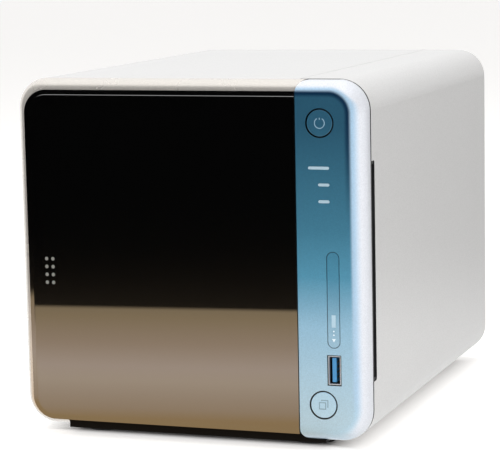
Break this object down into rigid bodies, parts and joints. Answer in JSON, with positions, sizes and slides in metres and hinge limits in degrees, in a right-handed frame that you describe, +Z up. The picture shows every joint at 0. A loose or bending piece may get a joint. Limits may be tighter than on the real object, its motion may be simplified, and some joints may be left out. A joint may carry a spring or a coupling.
{
  "type": "network attached storage",
  "caption": "Desktop network storage unit: drive trays in a cage behind a slide-off gloss door, with a button and port panel, rear fan and rear ports.",
  "frame": {"origin": "under the centre of the case, on the surface that the feet stand on", "axes": "+X to the right and +Y to the rear, seen from the door; +Z up"},
  "size_m": [0.17, 0.226, 0.168],
  "materials": {
    "cover_silver": "fine satin silver-white paint",
    "bezel_silver": "satin silver-white paint, slightly smoother",
    "panel_blue": "metallic blue lacquer, teal above and pale sky blue below",
    "button_blue": "metallic blue lacquer",
    "door_black": "piano black",
    "frame_black": "fine-textured black moulding",
    "tray_black": "fine-textured black moulding",
    "lever_grey": "satin dark grey moulding",
    "retainer_grey": "satin grey moulding",
    "progress_window": "tinted window",
    "status_light": "milky light pipe",
    "dot_silver": "bright inlaid dots",
    "sheet_steel": "zinc-plated sheet",
    "back_paint": "fine black powder coat",
    "port_metal": "nickel-plated sheet",
    "usb_blue": "blue contact tongue",
    "port_black": "black moulding",
    "board_green": "solder mask",
    "chip_black": "moulded packages",
    "heatsink_metal": "extruded aluminium",
    "drive_metal": "cast and stamped aluminium",
    "cell_steel": "bright steel cell",
    "fan_black": "moulded fan plastic",
    "screw_steel": "zinc-plated screws",
    "cable_black": "insulated lead",
    "foot_rubber": "matt rubber"
  },
  "bodies": {
    "housing": {"left_shell": "cover_silver", "right_cover": "cover_silver", "front_bezel": "bezel_silver", "control_panel": "panel_blue", "front_frame": "frame_black", "progress_lens": "progress_window", "status_lenses": "status_light", "front_usb_shell": "port_metal", "front_usb_tongue": "usb_blue", "front_board": "board_green", "drive_cage": "sheet_steel", "bay_guides": "tray_black", "backplane": "board_green", "sata_sockets": "port_black", "mainboard": "board_green", "board_parts": "chip_black", "cpu_heatsink": "heatsink_metal", "memory_sockets": "port_black", "memory_modules": "board_green", "coin_cell": "cell_steel", "lan_jacks": "port_metal", "rear_usb_shells": "port_metal", "rear_usb_tongues": "usb_blue", "hdmi_port": "port_metal", "dc_inlet": "port_black", "back_panel": "back_paint", "fan_frame": "fan_black", "fan_screws": "screw_steel", "case_screws": "screw_steel", "fan_lead": "cable_black", "foot_rails": "frame_black", "rubber_feet": "foot_rubber"},
    "latch": {"latch_bars": "sheet_steel"},
    "door": {"door_panel": "door_black", "door_carrier": "frame_black", "grip_dots": "dot_silver"},
    "tray_1": {"tray_1": "tray_black", "drive_1": "drive_metal", "retainers_1": "retainer_grey"},
    "tray_2": {"tray_2": "tray_black", "drive_2": "drive_metal", "retainers_2": "retainer_grey"},
    "tray_3": {"tray_3": "tray_black", "drive_3": "drive_metal", "retainers_3": "retainer_grey"},
    "tray_4": {"tray_4": "tray_black", "drive_4": "drive_metal", "retainers_4": "retainer_grey"},
    "lever_1": {"lever_1": "lever_grey"},
    "lever_2": {"lever_2": "lever_grey"},
    "lever_3": {"lever_3": "lever_grey"},
    "lever_4": {"lever_4": "lever_grey"},
    "power_button": {"power_button": "button_blue"},
    "copy_button": {"copy_button": "button_blue"},
    "reset_button": {"reset_button": "port_black"},
    "fan_rotor": {"fan_rotor": "fan_black"}
  },
  "joints": [
    {"name": "door_shift", "type": "slide", "parent": "housing", "child": "latch", "axis": [-1, 0, 0], "range_m": [0, 0.012]},
    {"name": "door_pull", "type": "slide", "parent": "latch", "child": "door", "axis": [0, -1, 0], "range_m": [0, 0.24]},
    {"name": "tray_1_slide", "type": "slide", "parent": "housing", "child": "tray_1", "axis": [0, -1, 0], "range_m": [0, 0.15]},
    {"name": "tray_2_slide", "type": "slide", "parent": "housing", "child": "tray_2", "axis": [0, -1, 0], "range_m": [0, 0.15]},
    {"name": "tray_3_slide", "type": "slide", "parent": "housing", "child": "tray_3", "axis": [0, -1, 0], "range_m": [0, 0.15]},
    {"name": "tray_4_slide", "type": "slide", "parent": "housing", "child": "tray_4", "axis": [0, -1, 0], "range_m": [0, 0.15]},
    {"name": "lever_1_hinge", "type": "hinge", "parent": "tray_1", "child": "lever_1", "pos_m": [-0.0608, -0.101, 0.03625], "axis": [1, 0, 0], "range_deg": [0, 60]},
    {"name": "lever_2_hinge", "type": "hinge", "parent": "tray_2", "child": "lever_2", "pos_m": [-0.0303, -0.101, 0.03625], "axis": [1, 0, 0], "range_deg": [0, 60]},
    {"name": "lever_3_hinge", "type": "hinge", "parent": "tray_3", "child": "lever_3", "pos_m": [0.0002, -0.101, 0.03625], "axis": [1, 0, 0], "range_deg": [0, 60]},
    {"name": "lever_4_hinge", "type": "hinge", "parent": "tray_4", "child": "lever_4", "pos_m": [0.0307, -0.101, 0.03625], "axis": [1, 0, 0], "range_deg": [0, 60]},
    {"name": "power_press", "type": "slide", "parent": "housing", "child": "power_button", "axis": [0, 1, 0], "range_m": [0, 0.0008], "stiffness_N_per_m": 500, "springref_m": -0.0015},
    {"name": "copy_press", "type": "slide", "parent": "housing", "child": "copy_button", "axis": [0, 1, 0], "range_m": [0, 0.0008], "stiffness_N_per_m": 500, "springref_m": -0.0015},
    {"name": "reset_press", "type": "slide", "parent": "housing", "child": "reset_button", "axis": [0, -1, 0], "range_m": [0, 0.0008], "stiffness_N_per_m": 300, "springref_m": -0.001},
    {"name": "fan_spin", "type": "hinge", "parent": "housing", "child": "fan_rotor", "pos_m": [-0.01505, 0.097, 0.08525], "axis": [0, 1, 0], "continuous": true}
  ],
  "couplings": [
    {"joint": "tray_1_slide", "follows": "door_pull", "ratio": 0.625},
    {"joint": "tray_2_slide", "follows": "door_pull", "ratio": 0.625},
    {"joint": "tray_3_slide", "follows": "door_pull", "ratio": 0.625},
    {"joint": "tray_4_slide", "follows": "door_pull", "ratio": 0.625},
    {"joint": "lever_1_hinge", "follows": "door_pull", "rad_per_m": 4.3633},
    {"joint": "lever_2_hinge", "follows": "door_pull", "rad_per_m": 4.3633},
    {"joint": "lever_3_hinge", "follows": "door_pull", "rad_per_m": 4.3633},
    {"joint": "lever_4_hinge", "follows": "door_pull", "rad_per_m": 4.3633}
  ]
}
